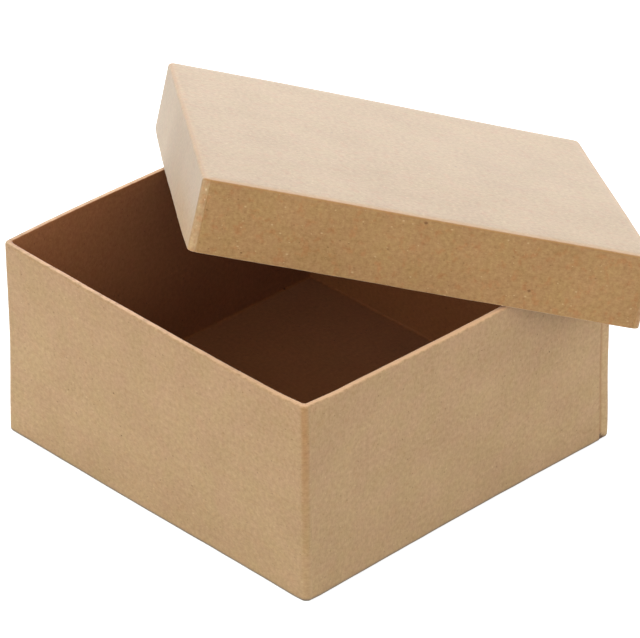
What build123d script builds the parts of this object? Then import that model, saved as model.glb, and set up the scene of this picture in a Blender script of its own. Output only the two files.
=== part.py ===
from build123d import *
import math
import os

# Kraft paper box of two folded and wrapped trays: a square base and its loose lid, laid askew on it.
# Millimetres, +Z up, base walls along X and Y, origin at the centre of the base's underside.

# Base, measured over its papered walls
BASE_SIDE = 150.0
BASE_HEIGHT = 78.0
BASE_FLOOR = 2.2

# Lid, a shallower tray turned over, with room all round for the base
LID_HEIGHT = 25.4
LID_PANEL = 2.2
LID_EASE = 1.5

# Board of both trays with its paper on both sides
WALL = 2.2

# Roundings of the papered edges
CORNER_ROUND = 1.8
FOLD_ROUND = 1.2
RIM_ROUND = 0.8
RIM_LINING_ROUND = 0.6
LINING_ROUND = 1.5

# Corner seams: the last ply of wrap stops short of the corner that the ply below goes round
PLY = 0.25
BASE_SEAM = 3.2
LID_SEAM = 2.4

# Open tuck of the wrap at the foot of one corner seam
TUCK_WIDTH = 1.3
TUCK_HEIGHT = 2.6
TUCK_DEPTH = 0.9

# How the loose lid lies: turned on the base, leaning down toward a heading from +X, this far off its seats
LID_TURN = 50.4
LEAN_HEADING = 96.6
SEAT_GAP = 0.05
STEEPEST_LEAN = 60.0
LEAN_STEPS = 40

LID_SIDE = BASE_SIDE + 2 * (LID_EASE + WALL)


def folded_tray(side, height, floor, seam):
    """Open tray standing on its floor, with the last plies of its wrap on the two X walls."""
    core = extrude(RectangleRounded(side - 2 * PLY, side, CORNER_ROUND), height)
    core = fillet(core.faces().sort_by(Axis.Z)[0].edges(), FOLD_ROUND)
    core = fillet(core.faces().sort_by(Axis.Z)[-1].edges(), RIM_ROUND)

    plies = extrude(Rectangle(side, side - 2 * seam), height)
    plies = fillet(plies.edges().filter_by(Axis.Y).group_by(Axis.Z)[0], FOLD_ROUND)
    plies = fillet(plies.edges().filter_by(Axis.Y).group_by(Axis.Z)[-1], RIM_ROUND)

    inner = side - 2 * WALL
    hollow = extrude(Plane.XY.offset(floor) * Rectangle(inner, inner), height)
    hollow = fillet(hollow.faces().sort_by(Axis.Z)[0].edges(), LINING_ROUND)

    tray = core + plies - hollow
    rim = tray.faces().sort_by(Axis.Z)[-1]
    return fillet(rim.inner_wires()[0].edges(), RIM_LINING_ROUND)


def open_tuck():
    """Wedge left open where the wrap folds under the floor beside a corner seam."""
    seam_line = BASE_SIDE / 2 - BASE_SEAM
    outline = Polyline(
        (seam_line, -TUCK_HEIGHT),
        (seam_line + TUCK_WIDTH, -TUCK_HEIGHT),
        (seam_line + TUCK_WIDTH, 0),
        (seam_line, TUCK_HEIGHT),
        close=True,
    )
    return extrude(Plane.YZ.offset(BASE_SIDE / 2 - PLY - TUCK_DEPTH) * make_face(outline), 2 * TUCK_DEPTH)


def base_above(up, level):
    """Outer points of the base that bound what stands above a slanted plane."""
    half = BASE_SIDE / 2
    rim = [Vector(x, y, BASE_HEIGHT) for x, y in ((-half, -half), (half, -half), (half, half), (-half, half))]
    points = []
    for corner, following in zip(rim, rim[1:] + rim[:1]):
        height = corner.dot(up) - level
        next_height = following.dot(up) - level
        if height > 0:
            points += [corner, corner - Vector(0, 0, height / up.Z)]
        if height * next_height < 0:
            points.append(corner + (following - corner) * (height / (height - next_height)))
    return points


def lid_seat(lean):
    """Plane of the lid's top at a lean, pushed home on the base, and the room then left in the lid."""
    heading = math.radians(LEAN_HEADING)
    hinge = Axis((0, 0, 0), (-math.sin(heading), math.cos(heading), 0))
    up = Vector(0, 0, 1).rotate(hinge, lean)
    across = Vector(1, 0, 0).rotate(Axis.Z, LID_TURN).rotate(hinge, lean)
    along = up.cross(across)

    half = BASE_SIDE / 2
    top_corners = [Vector(x, y, BASE_HEIGHT) for x in (-half, half) for y in (-half, half)]
    top_level = max(corner.dot(up) for corner in top_corners) + SEAT_GAP + LID_PANEL
    held = base_above(up, top_level - LID_HEIGHT)

    reach = LID_SIDE / 2 - WALL - SEAT_GAP
    origin = up * top_level
    rooms = []
    for direction in (across, along):
        spans = [point.dot(direction) for point in held]
        origin += direction * (min(spans) + reach)
        rooms.append(2 * reach - (max(spans) - min(spans)))
    return Plane(origin=origin, x_dir=across, z_dir=up), min(rooms)


def resting_lean():
    """Least lean at which the skirts clear the part of the base that they straddle."""
    low, high = 0.0, STEEPEST_LEAN
    for _ in range(LEAN_STEPS):
        middle = (low + high) / 2
        if lid_seat(middle)[1] < 0:
            low = middle
        else:
            high = middle
    return high


base = folded_tray(BASE_SIDE, BASE_HEIGHT, BASE_FLOOR, BASE_SEAM) - open_tuck()
base.label = "base"

lid_top, _ = lid_seat(resting_lean())
lid_tray = folded_tray(LID_SIDE, LID_HEIGHT, LID_PANEL, LID_SEAM)
lid = lid_top * Rot(180, 0, 90) * lid_tray
lid.label = "lid"

os.makedirs("parts", exist_ok=True)
export_step(base, "parts/base.step")
export_step(lid, "parts/lid.step")
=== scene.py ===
from math import cos, pi, radians, sin

import bpy
from mathutils import Matrix, Vector, noise


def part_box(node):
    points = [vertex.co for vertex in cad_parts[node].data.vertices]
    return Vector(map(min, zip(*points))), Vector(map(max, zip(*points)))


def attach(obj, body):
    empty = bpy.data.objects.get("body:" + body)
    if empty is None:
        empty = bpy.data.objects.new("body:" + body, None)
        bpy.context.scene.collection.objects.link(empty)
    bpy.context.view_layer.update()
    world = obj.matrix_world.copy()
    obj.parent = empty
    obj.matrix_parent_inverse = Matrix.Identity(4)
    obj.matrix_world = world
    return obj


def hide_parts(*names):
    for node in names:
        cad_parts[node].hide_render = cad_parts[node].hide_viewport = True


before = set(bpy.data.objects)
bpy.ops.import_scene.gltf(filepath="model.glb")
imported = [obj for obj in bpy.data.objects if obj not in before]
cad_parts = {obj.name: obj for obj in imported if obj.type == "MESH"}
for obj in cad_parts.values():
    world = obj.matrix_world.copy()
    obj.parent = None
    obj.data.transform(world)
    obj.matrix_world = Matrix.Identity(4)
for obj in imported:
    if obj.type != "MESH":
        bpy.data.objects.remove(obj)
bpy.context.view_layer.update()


# Base: one square open tray of grey board, folded up at four sides and wrapped in kraft paper.
# The paper of its Y walls goes round the corners, and the last plies, glued on the X walls, cover
# the ends of it, which leaves a seam beside each corner. The wrap turns over the rim as a lining.

mm = 0.001

base_low, base_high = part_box("base")
base_side = base_high.x - base_low.x
base_height = base_high.z - base_low.z
base_half = base_side / 2

board = 2.2 * mm
paper_ply = 0.25 * mm
fold_round = 1.2 * mm
rim_lining_round = 0.3 * mm
lining_round = 0.8 * mm
lining_corner = 1.3 * mm

# Height and length of the waves in the board, in the paper on it and in the folded edges
board_wave = 0.11 * mm
board_span = 38 * mm
paper_wave = 0.035 * mm
paper_span = 9 * mm
foot_wobble = 0.09 * mm
rim_wobble = 0.10 * mm
wobble_span = 7 * mm

# A ring of points this near each round keeps its shading off the flat sheet
ring_gap = 0.3 * mm

# Distance from a fold or rim at which no wear reaches the paper
unworn = 20 * mm

# Outward and sideways directions of the four walls, in the order that they follow round the tray
walls = (
    (Vector((0, -1)), Vector((1, 0))),
    (Vector((1, 0)), Vector((0, 1))),
    (Vector((0, 1)), Vector((-1, 0))),
    (Vector((-1, 0)), Vector((0, -1))),
)


def smooth_share(value, none_at, all_at):
    """Share from 0 to 1 that rises smoothly between two values."""
    share = min(1.0, max(0.0, (value - none_at) / (all_at - none_at)))
    return share * share * (3 - 2 * share)


def half_wall(half_flat, seam_line):
    """Places along a wall from its middle to its end, close together at the seam and the corner."""
    even_end = seam_line - 1.7 * mm
    even_steps = 27
    places = [even_end * step / even_steps for step in range(even_steps + 1)]
    places += [seam_line + off * mm for off in (-0.9, -0.4, -0.16, -0.05, 0.03, 0.16, 0.4)]
    rest = half_flat - places[-1]
    return places + [places[-1] + rest * share for share in (0.35, 0.7, 1.0)]


def round_stations(half, corner, seams):
    """Stations once round a tray: wall, place along its flat, and turn round the corner after it."""
    half_flat = half - corner
    corner_steps = 9
    stations = []
    for wall in range(4):
        before, after = (half - seam[0] for seam in seams[wall // 2])
        start = [-place for place in reversed(half_wall(half_flat, before)[1:])]
        stations += [(wall, place, 0.0) for place in start + half_wall(half_flat, after)]
        stations += [(wall, half_flat, pi / 2 * step / corner_steps) for step in range(1, corner_steps)]
    return stations


def arc(steps):
    """Turns of a quarter round, in equal steps."""
    return [pi / 2 * step / steps for step in range(steps + 1)]


def tray_profile(height, floor, rim_round):
    """Rings of a tray from the edge of its underside, up the wall, over the rim and down the lining.
    Each ring has its inset from the outer wall, its height and the sheet of paper that it starts."""
    foot_step = 0.45 * mm
    wall_step = 2.2 * mm
    lining_step = 2.4 * mm
    rings = [(fold_round + ring_gap, 0.0, "under")]
    for turn in arc(6):
        rings.append((fold_round * (1 - sin(turn)), fold_round * (1 - cos(turn)), "wall"))
    foot = fold_round + ring_gap
    shoulder = height - rim_round - ring_gap
    rings += [(0.0, foot + step * foot_step, "wall") for step in range(4)]
    foot += 4 * foot_step
    steps = max(6, round((shoulder - foot) / wall_step))
    rings += [(0.0, foot + (shoulder - foot) * step / steps, "wall") for step in range(steps + 1)]
    for turn in arc(5):
        rings.append((rim_round * (1 - cos(turn)), height - rim_round * (1 - sin(turn)), "wall"))
    for turn in arc(4):
        inset = board - rim_lining_round * (1 - sin(turn))
        rings.append((inset, height - rim_lining_round * (1 - cos(turn)), "wall"))
    shoulder = height - rim_lining_round - ring_gap
    foot = floor + lining_round + ring_gap
    steps = max(6, round((shoulder - foot) / lining_step))
    rings += [(board, shoulder + (foot - shoulder) * step / steps, "wall") for step in range(steps + 1)]
    for turn in arc(6):
        inset = board + lining_round * (1 - cos(turn))
        rings.append((inset, floor + lining_round * (1 - sin(turn)), "floor"))
    rings.append((board + lining_round + ring_gap, floor, "floor"))
    return rings


def folded_tray(
    name,
    side,
    height,
    floor,
    corner,
    rim_round,
    seams,
    tuck,
    crown,
    spared,
    rim_light_balance,
    painted_light_ends,
    bows,
    knocks,
    seed,
):
    """Mesh of a wrapped tray that stands on its floor, with its paper laid out flat as the map net.
    Spared is how far the wear stays off each wall's fold, and rim_light_balance how much less the rim is
    worn away from the corner after wall 1, which paints the rim darker where more light falls and lighter
    where the lid shades it. Painted_light_ends say how strong the painted light and shade is on each wall
    at its start and end."""
    lining_fade = 3
    wall_fade = 9
    crown_slope = 4 * mm
    lining_shift = 0.6
    half = side / 2
    half_flat = half - corner
    corner_length = corner * pi / 2
    stations = round_stations(half, corner, seams)
    columns = len(stations)
    rings = tray_profile(height, floor, rim_round)

    runs = [0.0]
    for before, ring in zip(rings, rings[1:]):
        step = Vector((ring[0] - before[0], ring[1] - before[1])).length
        runs.append(runs[-1] + (step if before[2] != "under" else 0.0))
    rim_runs = [run for run, ring in zip(runs, rings) if ring[1] > height - 1e-9]

    points = []
    mask_names = ("to_fold", "to_rim", "seam", "strip", "tuck", "inside", "held", "foot")
    masks = {mask: [] for mask in mask_names}

    def add_point(flat, outward, sheet, **values):
        """Puts a point where uneven board, wobbly folds and the knocks of handling leave it."""
        seeded = flat + Vector((seed, 0, 0))
        wave = board_wave * noise.noise(seeded / board_span) + paper_wave * noise.noise(seeded / paper_span)
        wobble = noise.noise(seeded / wobble_span + Vector((0, 5, 0)))
        moved = flat.copy()
        if sheet == "wall":
            moved += outward * wave * smooth_share(flat.z, 0, 3 * mm)
            moved += outward * wobble * foot_wobble * smooth_share(flat.z, 5 * mm, 0)
            moved.z += wobble * rim_wobble * smooth_share(flat.z, height - 4 * mm, height)
        elif sheet == "floor":
            moved.z += wave
        else:
            edge = half - fold_round - max(abs(flat.x), abs(flat.y))
            moved.z -= crown * (1 - (1 - min(1.0, max(0.0, edge / crown_slope))) ** 2)
        for centre, push, spread in knocks:
            gap = (flat - centre).length / spread
            if gap < 1:
                moved += push * (1 - gap * gap) ** 2
        points.append(moved)
        for mask, kept in masks.items():
            kept.append(values.get(mask, 0.0))

    for (inset, level, sheet), run in zip(rings, runs):
        under = sheet == "under"
        lined = 0.0 if under else smooth_share(inset, rim_round, board)
        outer = not under and inset < board - rim_lining_round
        drop = 0.0 if under else paper_ply * (1 - lined)
        half_x = half - inset - drop
        half_y = half - inset
        rise = smooth_share(level, 0, height)
        radius = max(corner - inset, lining_corner)

        # Wear fades from the rim sooner on the lining than on the wall, and from the fold sooner on the
        # wall than on the flat panel; painted light and shade rise on a wall toward its rim, and its foot
        # is painted darker, a painted shade where it stands on the floor, with some soil
        from_rim = max(rim_runs[0] - run, lining_fade * (run - rim_runs[-1]), 0.0)
        from_fold = max(0.0, inset - fold_round, wall_fade * (run - fold_round * pi / 4))
        painted_light_rise = smooth_share(level, 0.3 * height, 0.95 * height) if outer else 0.0
        # Painted shade along the foot where it stands on the floor, with some soil
        foot_shade_share = smooth_share(level, 1.9 * mm, 0.5 * mm) if outer else 0.0
        for wall, place, turn in stations:
            out, along = walls[wall]
            far, wide = (half_x, half_y) if wall % 2 else (half_y, half_x)
            facing = out * cos(turn) + along * sin(turn)
            if turn:
                spot = out * (far - radius) + along * (wide - radius) + facing * radius
            else:
                spot = out * far + along * place * (wide - radius) / half_flat

            # The walls bow a little between the corners, at the foot and more at the open rim
            foot_bow, rim_bow = bows[wall]
            aside = place / half_flat
            spot += out * (foot_bow * (1 - rise) * (1 - aside**2) + rim_bow * rise * (1 - aside**4))

            # The ply ends at the seam, and the strip of the paper under it shows from there to the corner.
            # Its colour is painted: a painted sheen where the seam's shade is above 0, a painted shade
            # below 0
            strip = line = opened = 0.0
            if wall % 2:
                seam_in, ply_step, darkness, shade = seams[wall // 2][1 if place > 0 else 0]
                past = abs(place) - (half - seam_in)
                ply = drop if past < 0 else drop * (1 - ply_step) * smooth_share(turn, 0.8, 0)
                spot += out * ply
                soft = (1.5 - 1.4 * ply_step) * mm
                strip = shade * smooth_share(past, 0.3 * soft, soft) * smooth_share(turn, 1.6, 0.9)
                if turn == 0:
                    line = darkness * smooth_share(abs(past - 0.1 * mm), 0.5 * mm, 0.15 * mm)
                    if tuck and wall == 1 and place > 0 and past > 0:
                        tuck_width, tuck_height, tuck_depth = tuck
                        slanted = level + past * tuck_height / tuck_width
                        opened = smooth_share(slanted, tuck_height, tuck_height * 0.8)
            else:
                _, ply_step, _, shade = seams[(wall + 1) % 4 // 2][0]
                spot += along * drop * (1 - ply_step) * smooth_share(turn, 0.8, pi / 2)
                strip = shade * smooth_share(turn, 0.1, 0.7)
                strip *= 1 - 0.5 * smooth_share(turn, 0.9, pi / 2)
            if not outer:
                strip = line = opened = 0.0
            # The painted shade on a dark strip fades toward the foot
            if strip < 0:
                strip *= smooth_share(level, 0.1 * height, 0.9 * height)
            outward = Vector((facing.x, facing.y, 0))
            flat = Vector((spot.x, spot.y, level))
            if opened:
                flat -= outward * opened * tuck_depth

            # Painted light, given for each wall's start and end and carried round the corner: on the base a
            # painted shade on the upper walls, on the lid a painted dimmer reflection near one corner
            painted_start, painted_end = painted_light_ends[wall]
            painted_light_at = painted_start + (painted_end - painted_start) * smooth_share(aside, -0.7, 0.3)
            painted_light_at += (painted_light_ends[(wall + 1) % 4][0] - painted_light_at) * sin(turn) ** 2
            fold_distance = spared[wall] + from_fold
            # The rim's wear is held back away from the corner after wall 1, so the rim is painted darker
            # where more light falls on it and lighter where the lid shades it
            rim_distance = max(0.0, from_rim + rim_light_balance * (half - spot.x - spot.y) / side)
            add_point(
                flat,
                outward,
                sheet,
                to_fold=min(fold_distance, unworn) if outer or under else unworn,
                to_rim=unworn if under else min(rim_distance, unworn),
                seam=line,
                strip=strip,
                tuck=opened,
                inside=lined,
                held=painted_light_at * painted_light_rise,
                foot=foot_shade_share,
            )

    # The flat panels under and on the floor are grids between the places along the walls
    sheets = []
    faces = []
    for ring in range(len(rings) - 1):
        for column in range(columns):
            following = (column + 1) % columns
            faces.append([ring * columns + column, ring * columns + following])
            faces[-1] += [(ring + 1) * columns + following, (ring + 1) * columns + column]
            sheets.append((rings[ring][2], ring, column))
    per_wall = columns // 4
    per_flat = sum(1 for wall, place, turn in stations if wall == 0 and turn == 0)
    for ring, sheet in ((0, "under"), (len(rings) - 1, "floor")):
        first = ring * columns
        inset, level, _ = rings[ring]
        radius = max(corner - inset, lining_corner)
        stretch = (half - inset - radius) / half_flat
        grid = len(points)
        for row in range(per_flat):
            y = stations[per_wall + row][1] * stretch
            for place in range(per_flat):
                x = stations[place][1] * stretch
                edge = half - max(abs(x), abs(y))
                near = (1 if x > 0 else 3) if abs(x) > abs(y) else (2 if y > 0 else 0)
                fold_distance = edge - fold_round + spared[near]
                add_point(
                    Vector((x, y, level)),
                    Vector((0, 0, 0)),
                    sheet,
                    to_fold=min(fold_distance, unworn) if sheet == "under" else unworn,
                    to_rim=unworn,
                    inside=float(sheet == "floor"),
                )
        panel = []
        for row in range(per_flat - 1):
            for place in range(per_flat - 1):
                start = grid + row * per_flat + place
                panel.append([start, start + 1, start + per_flat + 1, start + per_flat])
        top = per_flat - 1
        rims = (
            [grid + step for step in range(per_flat)],
            [grid + step * per_flat + top for step in range(per_flat)],
            [grid + top * per_flat + top - step for step in range(per_flat)],
            [grid + (top - step) * per_flat for step in range(per_flat)],
        )
        for wall, inner in enumerate(rims):
            start = first + wall * per_wall
            for step in range(top):
                panel.append([start + step, start + step + 1, inner[step + 1], inner[step]])
            for step in range(top, per_wall):
                panel.append([start + step, first + (wall * per_wall + step + 1) % columns, inner[top]])
        if sheet == "under":
            panel = [list(reversed(face)) for face in panel]
        faces += panel
        sheets += [(sheet, ring, 0)] * len(panel)

    # The paper laid flat: each wall folds out from the underside, and the floor's sheet lies beside them
    net = []
    for face, (sheet, ring, column) in zip(faces, sheets):
        wall, place, turn = stations[column]
        own = wall
        if wall % 2:
            before, after = (half - seam[0] for seam in seams[wall // 2])
            if place < -before:
                own = wall - 1
            elif place >= after:
                own = wall + 1
        for point in face:
            spot = points[point]
            if sheet == "wall":
                row, station = divmod(point, columns)
                there, reach, bend = stations[station]
                if station == 0 and column == columns - 1:
                    there = 4
                reach += bend * corner + (there - own) * (2 * half_flat + corner_length)
                out, along = walls[own % 4]
                spot = out * (half + runs[row]) + along * reach
            shift = lining_shift if sheet == "floor" else 0.0
            net += [spot.x + shift, spot.y + shift]

    mesh = bpy.data.meshes.new(name)
    mesh.from_pydata(points, [], faces)
    mesh.uv_layers.new(name="net").uv.foreach_set("vector", net)
    for mask, values in masks.items():
        mesh.attributes.new(mask, "FLOAT", "POINT").data.foreach_set("value", values)
    mesh.shade_smooth()
    return mesh


# Seams by the corners before and after each X wall: how far in, step, dark line and the strip's paint,
# a painted sheen above 0 and a painted shade below 0.
# The tuck is the open bit of paper at the foot of the right-hand seam: width, height and depth.
# Bows are how far each wall stands out at its foot and rim. A knock has its spot, push and spread.
base_seams = (
    ((2.9 * mm, 0.0, 0.0, -0.8), (5.7 * mm, 0.9, 0.75, 0.5)),
    ((5.4 * mm, 0.7, 0.6, 0.4), (2.9 * mm, 0.5, 0.5, 0.3)),
)
base_tuck = (4.2 * mm, 3.8 * mm, 0.08 * mm)
base_bows = ((-0.2 * mm, 0.85 * mm), (-0.55 * mm, 0.0), (0.0, 0.3 * mm), (0.0, 0.0))
base_knocks = (
    (Vector((base_half, -base_half, 0)), Vector((0, 1.2, 0)) * mm, 100 * mm),
    (Vector((base_half, -base_half, 0)), Vector((-0.4, 0.4, 0)) * mm, 8 * mm),
    (Vector((base_half, base_half, 0)), Vector((0.4, 2.2, 0)) * mm, 70 * mm),
    (Vector((base_half, base_half, 0.35 * base_height)), Vector((-0.27, -0.27, 0)) * mm, 24 * mm),
    (Vector((-base_half, -base_half, 0)), Vector((-1.3, 0, 0)) * mm, 42 * mm),
    (Vector((-base_half, -base_half, base_height)), Vector((0, -0.4, 0)) * mm, 35 * mm),
    (Vector((base_half, -base_half, 0.6 * base_height)), Vector((-0.3, -0.3, 0)) * mm, 65 * mm),
    (Vector((base_half, -base_half, base_height)), Vector((-0.75, 0.25, 0.2)) * mm, 16 * mm),
    (Vector((base_half, 5 * mm, base_height)), Vector((0, 0, -0.85)) * mm, 65 * mm),
    (Vector((-base_half, -0.4 * base_half, base_height)), Vector((-0.9, 0, 0.45)) * mm, 70 * mm),
)
base_mesh = folded_tray(
    name="base_tray",
    side=base_side,
    height=base_height,
    floor=3.7 * mm,
    corner=2.2 * mm,
    rim_round=0.8 * mm,
    seams=base_seams,
    tuck=base_tuck,
    crown=0.0,
    spared=(0.0, 0.0, 0.0, 0.0),
    # Rim painted darker where more light falls on it and lighter where the lid shades it
    rim_light_balance=0.45 * mm,
    # Painted shade on every wall, along its whole length
    painted_light_ends=((1, 1), (1, 1), (1, 1), (1, 1)),
    bows=base_bows,
    knocks=base_knocks,
    seed=0.0,
)
base_tray = bpy.data.objects.new("base_tray", base_mesh)
bpy.context.scene.collection.objects.link(base_tray)


def add_node(tree, kind, **settings):
    """New node of a kind, with its settings."""
    node = tree.nodes.new(kind)
    for setting, value in settings.items():
        setattr(node, setting, value)
    return node


def plug(tree, sockets, values):
    """Links or sets sockets one after another; None leaves one as it is."""
    for socket, value in zip(sockets, values):
        if isinstance(value, bpy.types.NodeSocket):
            tree.links.new(value, socket)
        elif value is not None:
            socket.default_value = value


def fill(node, **values):
    """Links or sets a node's inputs by their names, with _ for a space."""
    sockets = [node.inputs[name.replace("_", " ")] for name in values]
    plug(node.id_data, sockets, values.values())
    return node


def sums(tree, operation, *values):
    """Result of a math node."""
    node = add_node(tree, "ShaderNodeMath", operation=operation)
    plug(tree, node.inputs, values)
    return node.outputs[0]


def ranged(tree, *values):
    """Value eased from one range into another: value, range from low to high, and the new low and high."""
    node = add_node(tree, "ShaderNodeMapRange", interpolation_type="SMOOTHSTEP")
    plug(tree, node.inputs, values)
    return node.outputs[0]


def blended(tree, share, under, over, blend="MIX"):
    """Colour laid over another by its share."""
    node = add_node(tree, "ShaderNodeMix", data_type="RGBA", blend_type=blend)
    plug(tree, (node.inputs[0], node.inputs[6], node.inputs[7]), (share, under, over))
    return node.outputs[2]


def cloudy(tree, net, scale, detail, rough, stretch=1.0):
    """Noise about zero, stretched along the grain."""
    laid = add_node(tree, "ShaderNodeMapping")
    fill(laid, Vector=net, Scale=(stretch, 1.0, 1.0))
    clouds = add_node(tree, "ShaderNodeTexNoise", noise_dimensions="2D")
    fill(clouds, Vector=laid.outputs[0], Scale=scale, Detail=detail, Roughness=rough)
    return sums(tree, "SUBTRACT", clouds.outputs[0], 0.5)


def speckle(tree, net, scale, stretch, least, spread, share):
    """Scattered specks, most of them small: one in a cell, in a share of the cells."""
    smallness = 2.5
    core = 0.35
    laid = add_node(tree, "ShaderNodeMapping")
    fill(laid, Vector=net, Scale=(stretch, 1.0, 1.0))
    cells = add_node(tree, "ShaderNodeTexVoronoi", voronoi_dimensions="2D")
    fill(cells, Vector=laid.outputs[0], Scale=scale)
    pick = add_node(tree, "ShaderNodeSeparateColor")
    fill(pick, Color=cells.outputs["Color"])
    size = sums(tree, "POWER", pick.outputs["Green"], smallness)
    size = sums(tree, "MULTIPLY_ADD", size, spread, least)
    speck = ranged(tree, cells.outputs["Distance"], size, sums(tree, "MULTIPLY", size, core))
    return sums(tree, "MULTIPLY", speck, sums(tree, "LESS_THAN", pick.outputs["Red"], share))


def new_group(name, inputs, outputs):
    """Empty shader group with its named sockets, and its two ends."""
    tree = bpy.data.node_groups.new(name, "ShaderNodeTree")
    for socket, kind in inputs.items():
        tree.interface.new_socket(socket, in_out="INPUT", socket_type="NodeSocket" + kind)
    for socket, kind in outputs.items():
        tree.interface.new_socket(socket, in_out="OUTPUT", socket_type="NodeSocket" + kind)
    return tree, add_node(tree, "NodeGroupInput").outputs, add_node(tree, "NodeGroupOutput")


# Kraft pulp: fine mottle, short fibres and long grain, slow clouds, blushes, bark and pale fibres
kraft_pulp, given, put_out = new_group(
    "kraft pulp",
    {
        "Net": "Vector",
        "Dark Pulp": "Color",
        "Pale Pulp": "Color",
        "Blush": "Color",
        "Bark": "Color",
        "Pale Fibre": "Color",
        "Mottle": "Float",
        "Grain": "Float",
        "Clouds": "Float",
        "Blush Share": "Float",
        "Bark Share": "Float",
        "Fibre Share": "Float",
    },
    {"Color": "Color", "Relief": "Float", "Tone": "Float"},
)
net = given["Net"]
fibre_tone = 0.4
fibre_relief = 0.6
mottle = cloudy(kraft_pulp, net, scale=620.0, detail=4.0, rough=0.7)
mottle = sums(kraft_pulp, "MULTIPLY", mottle, given["Mottle"])
fibres = cloudy(kraft_pulp, net, scale=1700.0, detail=2.0, rough=0.5, stretch=0.4)
tone = sums(kraft_pulp, "MULTIPLY", fibres, given["Mottle"])
tone = sums(kraft_pulp, "MULTIPLY_ADD", tone, fibre_tone, mottle)
grain = cloudy(kraft_pulp, net, scale=300.0, detail=2.0, rough=0.6, stretch=0.07)
tone = sums(kraft_pulp, "MULTIPLY_ADD", grain, given["Grain"], tone)
clouds = cloudy(kraft_pulp, net, scale=42.0, detail=2.0, rough=0.5)
tone = sums(kraft_pulp, "MULTIPLY_ADD", clouds, given["Clouds"], tone)
tone = sums(kraft_pulp, "ADD", tone, 0.5)
sheet_colour = blended(kraft_pulp, tone, given["Dark Pulp"], given["Pale Pulp"])

# The hue drifts a little from greenish to reddish, and the blushes are small warm clouds
green_drift = (0.985, 1.014, 0.955, 1.0)
red_drift = (1.015, 0.984, 1.035, 1.0)
drift = cloudy(kraft_pulp, net, scale=95.0, detail=4.0, rough=0.7)
drift = ranged(kraft_pulp, drift, -0.25, 0.25)
drift = blended(kraft_pulp, drift, green_drift, red_drift)
sheet_colour = blended(kraft_pulp, 1.0, sheet_colour, drift, "MULTIPLY")
blush = cloudy(kraft_pulp, net, scale=260.0, detail=4.0, rough=0.62)
blush = ranged(kraft_pulp, blush, 0.02, 0.2)
blush = sums(kraft_pulp, "MULTIPLY", blush, given["Blush Share"])
sheet_colour = blended(kraft_pulp, blush, sheet_colour, given["Blush"], "MULTIPLY")

# Pale fibres and fine specks are many and faint, bits of bark few and dark
pale_strength = 0.4
speck_strength = 0.5
bark_strength = 0.85
fibre_share = given["Fibre Share"]
bark_share = given["Bark Share"]
pale = speckle(kraft_pulp, net, scale=430.0, stretch=0.7, least=0.06, spread=0.13, share=fibre_share)
pale = sums(kraft_pulp, "MULTIPLY", pale, pale_strength)
sheet_colour = blended(kraft_pulp, pale, sheet_colour, given["Pale Fibre"])
specks = speckle(kraft_pulp, net, scale=380.0, stretch=0.8, least=0.06, spread=0.10, share=bark_share)
specks = sums(kraft_pulp, "MULTIPLY", specks, speck_strength)
bark = speckle(kraft_pulp, net, scale=62.0, stretch=0.8, least=0.013, spread=0.034, share=bark_share)
bark = sums(kraft_pulp, "MULTIPLY", bark, bark_strength)
bark = sums(kraft_pulp, "MAXIMUM", specks, bark)
sheet_colour = blended(kraft_pulp, bark, sheet_colour, given["Bark"])
relief = sums(kraft_pulp, "MULTIPLY_ADD", fibres, fibre_relief, mottle)
fill(put_out, Color=sheet_colour, Relief=relief, Tone=tone)

# Worn edge: paper that is stretched and rubbed along a fold or rim, broken up by the pulp
worn_edge, given, put_out = new_group(
    "worn edge",
    {
        "Color": "Color",
        "Net": "Vector",
        "Distance": "Float",
        "Width": "Float",
        "Worn": "Color",
        "Amount": "Float",
    },
    {"Color": "Color"},
)
unevenness = 2.0
rubbed = cloudy(worn_edge, given["Net"], scale=300.0, detail=4.0, rough=0.7)
rubbed = sums(worn_edge, "MULTIPLY_ADD", rubbed, unevenness, 1.0)
reach = sums(worn_edge, "MULTIPLY", rubbed, given["Width"])
wear = sums(worn_edge, "DIVIDE", given["Distance"], reach)
wear = ranged(worn_edge, wear, 1.0, 0.0)
wear = sums(worn_edge, "MULTIPLY", wear, given["Amount"])
fill(put_out, Color=blended(worn_edge, wear, given["Color"], given["Worn"]))


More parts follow.
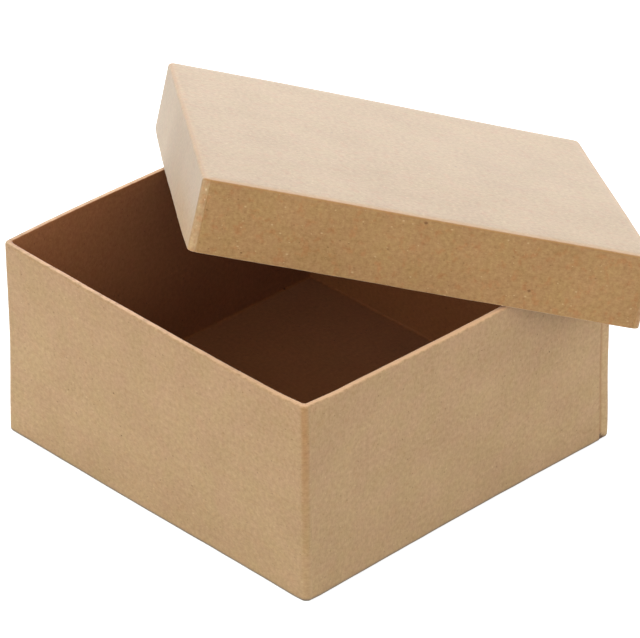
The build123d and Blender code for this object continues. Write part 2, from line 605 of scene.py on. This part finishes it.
def kraft_material(
    name,
    pulp,
    rim,
    fold,
    inside_shade,
    held,
    nap,
    pale_strip,
    seam,
    foot_shade_and_soil,
    relief,
):
    """Kraft paper of one tray: pulp, a painted shade inside, painted light, painted sheen and shade on the
    seam strips, worn folds and rim, dark seams, a painted shade at the foot with some soil and a painted
    shade in the open tuck. Rim and fold have a width, colour and amount, seam and foot_shade_and_soil a
    colour and amount, and nap is the sheen of the fine fibres where there is no painted light and where it
    is full."""
    relief_depth = 0.1 * mm
    dark_rough = 0.80
    pale_rough = 0.68
    nap_tint = (0.95, 1.0, 0.97, 1.0)
    dark_strip = (0.90, 0.76, 0.58, 1.0)
    tuck_shade = (0.075, 0.028, 0.0, 1.0)
    material = bpy.data.materials.new(name)
    material.use_nodes = True
    tree = material.node_tree
    net = add_node(tree, "ShaderNodeUVMap", uv_map="net").outputs[0]

    def mask(attribute, amount):
        read = add_node(tree, "ShaderNodeAttribute", attribute_name=attribute)
        return sums(tree, "MULTIPLY", read.outputs["Fac"], amount)

    paper = add_node(tree, "ShaderNodeGroup", node_tree=kraft_pulp)
    fill(paper, Net=net, **pulp)
    face = paper.outputs["Color"]
    # Painted shade inside: the paper within the tray is painted darker and redder
    face = blended(tree, mask("inside", 1.0), face, inside_shade, "MULTIPLY")
    # Painted light: the base's walls are painted darker toward the rim as a painted shade, and one corner
    # of the lid is painted lighter
    face = blended(tree, mask("held", 1.0), face, held, "MULTIPLY")
    # Painted sheen on the pale seam strips and painted shade on the dark one
    face = blended(tree, mask("strip", 1.0), face, pale_strip, "MULTIPLY")
    face = blended(tree, mask("strip", -1.0), face, dark_strip, "MULTIPLY")
    for distance, (width, worn, amount) in (("to_fold", fold), ("to_rim", rim)):
        edge = add_node(tree, "ShaderNodeGroup", node_tree=worn_edge)
        fill(edge, Color=face, Net=net, Distance=mask(distance, 1.0), Width=width, Worn=worn, Amount=amount)
        face = edge.outputs["Color"]
    face = blended(tree, mask("seam", seam[1]), face, seam[0])
    # Painted shade along the foot where it stands on the floor, with some soil
    face = blended(tree, mask("foot", foot_shade_and_soil[1]), face, foot_shade_and_soil[0])
    # The open tuck is painted almost black, a painted shade in the gap
    face = blended(tree, mask("tuck", 1.0), face, tuck_shade)
    bump = add_node(tree, "ShaderNodeBump")
    fill(bump, Strength=relief, Distance=relief_depth, Height=paper.outputs["Relief"])
    matt = ranged(tree, paper.outputs["Tone"], 0.2, 0.8, dark_rough, pale_rough)
    shader = tree.nodes["Principled BSDF"]
    fill(shader, Base_Color=face, Roughness=matt, Normal=bump.outputs[0])
    # Where the painted light mask is full the sheen drops to nap's second value, a painted dimmer
    # reflection
    sheen = sums(tree, "MULTIPLY_ADD", mask("held", 1.0), nap[1] - nap[0], nap[0])
    fill(shader, Sheen_Weight=sheen, Sheen_Roughness=0.4, Sheen_Tint=nap_tint)
    fill(shader, IOR=1.5, Specular_IOR_Level=0.5)
    return material


base_kraft = kraft_material(
    "base kraft paper",
    pulp={
        "Dark_Pulp": (0.284, 0.163, 0.064, 1.0),
        "Pale_Pulp": (0.526, 0.346, 0.173, 1.0),
        "Blush": (1.0, 0.93, 0.86, 1.0),
        "Bark": (0.130, 0.056, 0.012, 1.0),
        "Pale_Fibre": (0.62, 0.44, 0.25, 1.0),
        "Mottle": 0.88,
        "Grain": 0.10,
        "Clouds": 0.27,
        "Blush_Share": 0.4,
        "Bark_Share": 0.26,
        "Fibre_Share": 0.12,
    },
    rim=(1.15 * mm, (0.82, 0.50, 0.272, 1.0), 0.92),
    fold=(1.2 * mm, (0.46, 0.27, 0.12, 1.0), 0.2),
    # Painted shade inside the tray
    inside_shade=(0.845, 0.497, 0.282, 1.0),
    # Painted shade: the walls are painted a little darker toward the rim
    held=(0.955, 0.93, 0.93, 1.0),
    nap=(0.58, 0.58),
    # Painted sheen on the seam strips, and painted shade on the dark strip by the corner between the -Y and
    # +X walls
    pale_strip=(1.16, 1.22, 1.22, 1.0),
    seam=((0.26, 0.092, 0.010, 1.0), 0.9),
    # Painted shade along the foot, with some soil
    foot_shade_and_soil=((0.10, 0.08, 0.055, 1.0), 0.9),
    relief=0.3,
)
base_mesh.materials.append(base_kraft)
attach(base_tray, "base")
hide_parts("base")


# Lid: a shallower tray of the same board and paper turned over, with room for the base inside it.
# It is loose: it lies turned on the base and leans down to the back, held by the rim under it.

lid_turn = radians(50.4)
lid_lean = radians(19.0935)
lid_heading = radians(96.6)

lean_axis = Vector((-sin(lid_heading), cos(lid_heading), 0))
leaned = Matrix.Rotation(lid_lean, 3, lean_axis)
lid_up = leaned @ Vector((0, 0, 1))
lid_across = leaned @ Vector((cos(lid_turn), sin(lid_turn), 0))
lid_along = lid_up.cross(lid_across)

# The lid's own sizes are the spans of its node along its own axes
lid_points = [vertex.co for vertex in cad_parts["lid"].data.vertices]
lid_spans = []
for axis in (lid_along, lid_across, lid_up):
    reaches = [point.dot(axis) for point in lid_points]
    lid_spans.append((min(reaches), max(reaches)))
lid_side = lid_spans[0][1] - lid_spans[0][0]
lid_half = lid_side / 2
lid_height = lid_spans[2][1] - lid_spans[2][0]
lid_top = lid_along * sum(lid_spans[0]) / 2 + lid_across * sum(lid_spans[1]) / 2 + lid_up * lid_spans[2][1]
lid_place = Matrix((lid_along, lid_across, -lid_up)).transposed().to_4x4()
lid_place.translation = lid_top

lid_seams = (
    ((2.9 * mm, 0.5, 0.4, 0.5), (2.9 * mm, 0.5, 0.3, 0.5)),
    ((2.9 * mm, 0.3, 0.0, 0.5), (2.9 * mm, 0.6, 0.0, 1.0)),
)
lid_bows = ((0.0, 0.55 * mm), (0.0, 0.0), (0.0, 0.0), (0.0, 0.0))
lid_knocks = (
    (Vector((lid_half, lid_half, 0)), Vector((0, 0.4, 1.1)) * mm, 120 * mm),
    (Vector((-lid_half, -lid_half, lid_height)), Vector((0, -0.3, 0)) * mm, 100 * mm),
    (Vector((-lid_half, -lid_half, lid_height)), Vector((0, 0, 0.45)) * mm, 60 * mm),
    (Vector((lid_half, -lid_half, lid_height)), Vector((0, 0.45, 0)) * mm, 55 * mm),
    (Vector((-lid_half, 0, 0)), Vector((0, 0, 0.25)) * mm, 60 * mm),
)
lid_mesh = folded_tray(
    name="lid_tray",
    side=lid_side,
    height=lid_height,
    floor=board,
    corner=2.4 * mm,
    rim_round=0.25 * mm,
    seams=lid_seams,
    tuck=None,
    crown=0.25 * mm,
    spared=(1.4 * mm, 1.0 * mm, 1.0 * mm, 0.0),
    rim_light_balance=0.0,
    # Painted light at the start of the first wall only
    painted_light_ends=((1, 0), (0, 0), (0, 0), (0, 0)),
    bows=lid_bows,
    knocks=lid_knocks,
    seed=3.0,
)
lid_mesh.transform(lid_place)

# The lid's sheet was cut from another part of the paper, with its grain the other way
lid_shift = 2.0
lid_net = lid_mesh.uv_layers["net"].uv
laid = [0.0] * (2 * len(lid_net))
lid_net.foreach_get("vector", laid)
laid[0::2], laid[1::2] = [value + lid_shift for value in laid[1::2]], laid[0::2]
lid_net.foreach_set("vector", laid)
lid_tray = bpy.data.objects.new("lid_tray", lid_mesh)
bpy.context.scene.collection.objects.link(lid_tray)

lid_kraft = kraft_material(
    "lid kraft paper",
    pulp={
        "Dark_Pulp": (0.206, 0.095, 0.0255, 1.0),
        "Pale_Pulp": (0.444, 0.265, 0.098, 1.0),
        "Blush": (1.02, 0.84, 0.74, 1.0),
        "Bark": (0.140, 0.052, 0.008, 1.0),
        "Pale_Fibre": (0.62, 0.44, 0.23, 1.0),
        "Mottle": 0.85,
        "Grain": 0.06,
        "Clouds": 0.24,
        "Blush_Share": 0.8,
        "Bark_Share": 0.20,
        "Fibre_Share": 0.26,
    },
    rim=(0.5 * mm, (0.58, 0.36, 0.18, 1.0), 0.6),
    # The wide warm band at the folds of the lid's top is wear and a painted shade where the top turns down
    fold=(3.2 * mm, (0.48, 0.23, 0.05, 1.0), 0.5),
    # Painted shade inside the lid
    inside_shade=(0.88, 0.58, 0.38, 1.0),
    # Painted light near the start of the lid's first wall: the paper is painted lighter and its sheen
    # lowered, a painted dimmer reflection
    held=(1.10, 1.12, 1.08, 1.0),
    nap=(0.58, 0.33),
    # Painted sheen on the lid's seam strips
    pale_strip=(1.30, 1.52, 2.2, 1.0),
    seam=((0.22, 0.095, 0.025, 1.0), 0.9),
    # A little darker and warmer at the fold of the lid's top
    foot_shade_and_soil=((0.30, 0.15, 0.055, 1.0), 0.2),
    relief=0.22,
)
lid_mesh.materials.append(lid_kraft)
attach(lid_tray, "lid")
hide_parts("lid")


# Studio: a wide pale floor and soft white surroundings, a big softbox over the back of the box, weaker
# ones before its left and right walls, and a long lens that looks down on the near corner.

floor_reach = 6.0
floor_mesh = bpy.data.meshes.new("studio_floor")
floor_corners = [(-1, -1), (1, -1), (1, 1), (-1, 1)]
floor_points = [(x * floor_reach, y * floor_reach, 0) for x, y in floor_corners]
floor_mesh.from_pydata(floor_points, [], [(0, 1, 2, 3)])
studio_floor = bpy.data.objects.new("studio_floor", floor_mesh)
bpy.context.scene.collection.objects.link(studio_floor)


def straight_look(tree):
    """1 for what the camera sees directly, in a reflection or through glass, 0 for light that bounces."""
    path = add_node(tree, "ShaderNodeLightPath").outputs
    look = sums(tree, "MAXIMUM", path["Is Camera Ray"], path["Is Glossy Ray"])
    return sums(tree, "MAXIMUM", look, path["Is Transmission Ray"])


# The floor's glow whitens it for the camera, and reflections see only a small share of it
floor_grey = 0.72
floor_glow = 0.75
gloss_share = 0.07
floor_paint = bpy.data.materials.new("studio floor")
floor_paint.use_nodes = True
tree = floor_paint.node_tree
tree.nodes.remove(tree.nodes["Principled BSDF"])
matt_white = fill(add_node(tree, "ShaderNodeBsdfDiffuse"), Color=(floor_grey, floor_grey, floor_grey, 1.0))
path = add_node(tree, "ShaderNodeLightPath").outputs
look = sums(tree, "MAXIMUM", path["Is Camera Ray"], path["Is Transmission Ray"])
look = sums(tree, "MULTIPLY_ADD", path["Is Glossy Ray"], gloss_share, look)
glow = fill(add_node(tree, "ShaderNodeEmission"), Strength=sums(tree, "MULTIPLY", look, floor_glow))
both = add_node(tree, "ShaderNodeAddShader")
plug(tree, both.inputs, (matt_white.outputs[0], glow.outputs[0]))
fill(tree.nodes["Material Output"], Surface=both.outputs[0])
floor_mesh.materials.append(floor_paint)

tent = bpy.data.worlds.new("white tent")
bpy.context.scene.world = tent
tent.use_nodes = True
tree = tent.node_tree
tent_light = 0.7
tent_strength = ranged(tree, straight_look(tree), 0.0, 1.0, tent_light, 1.0)
fill(tree.nodes["Background"], Color=(1.0, 1.0, 1.0, 1.0), Strength=tent_strength)


def softbox(name, place, width, height, watts):
    """Soft lamp that faces the box."""
    box_middle = Vector((0, 0, 0.05))
    lamp = bpy.data.lights.new(name, "AREA")
    lamp.shape = "RECTANGLE"
    lamp.size = width
    lamp.size_y = height
    lamp.energy = watts
    holder = bpy.data.objects.new(name, lamp)
    holder.location = place
    holder.rotation_euler = (box_middle - Vector(place)).to_track_quat("-Z", "Y").to_euler()
    bpy.context.scene.collection.objects.link(holder)


softbox("back softbox", place=(-1.1, 1.1, 0.75), width=1.4, height=0.9, watts=28.2)
softbox("left softbox", place=(-0.3, -1.3, 0.35), width=1.2, height=0.6, watts=6.3)
softbox("high softbox", place=(-0.1, -1.3, 1.0), width=1.2, height=0.6, watts=5.2)
softbox("right softbox", place=(1.4, 0.3, 0.35), width=1.2, height=0.6, watts=7.2)

heading = radians(45.2311)
height_angle = radians(31.5335)
roll = radians(0.5532)
stand_off = 1.521889
right = Vector((cos(heading), sin(heading), 0))
back = Vector((sin(heading) * cos(height_angle), -cos(heading) * cos(height_angle), sin(height_angle)))
upward = back.cross(right)
aim_right = 0.0040266
aim_up = 0.0410235
aim = right * aim_right + upward * aim_up
camera_data = bpy.data.cameras.new("camera")
camera_data.sensor_width = 36.0
camera_data.lens = 240.13
camera_data.clip_end = 50.0
camera = bpy.data.objects.new("camera", camera_data)
side_axis = right * cos(roll) + upward * sin(roll)
top_axis = upward * cos(roll) - right * sin(roll)
camera_place = Matrix((side_axis, top_axis, back)).transposed().to_4x4()
camera_place.translation = aim + back * stand_off
camera.matrix_world = camera_place
bpy.context.scene.collection.objects.link(camera)
bpy.context.scene.camera = camera
bpy.context.scene.view_settings.view_transform = "Standard"
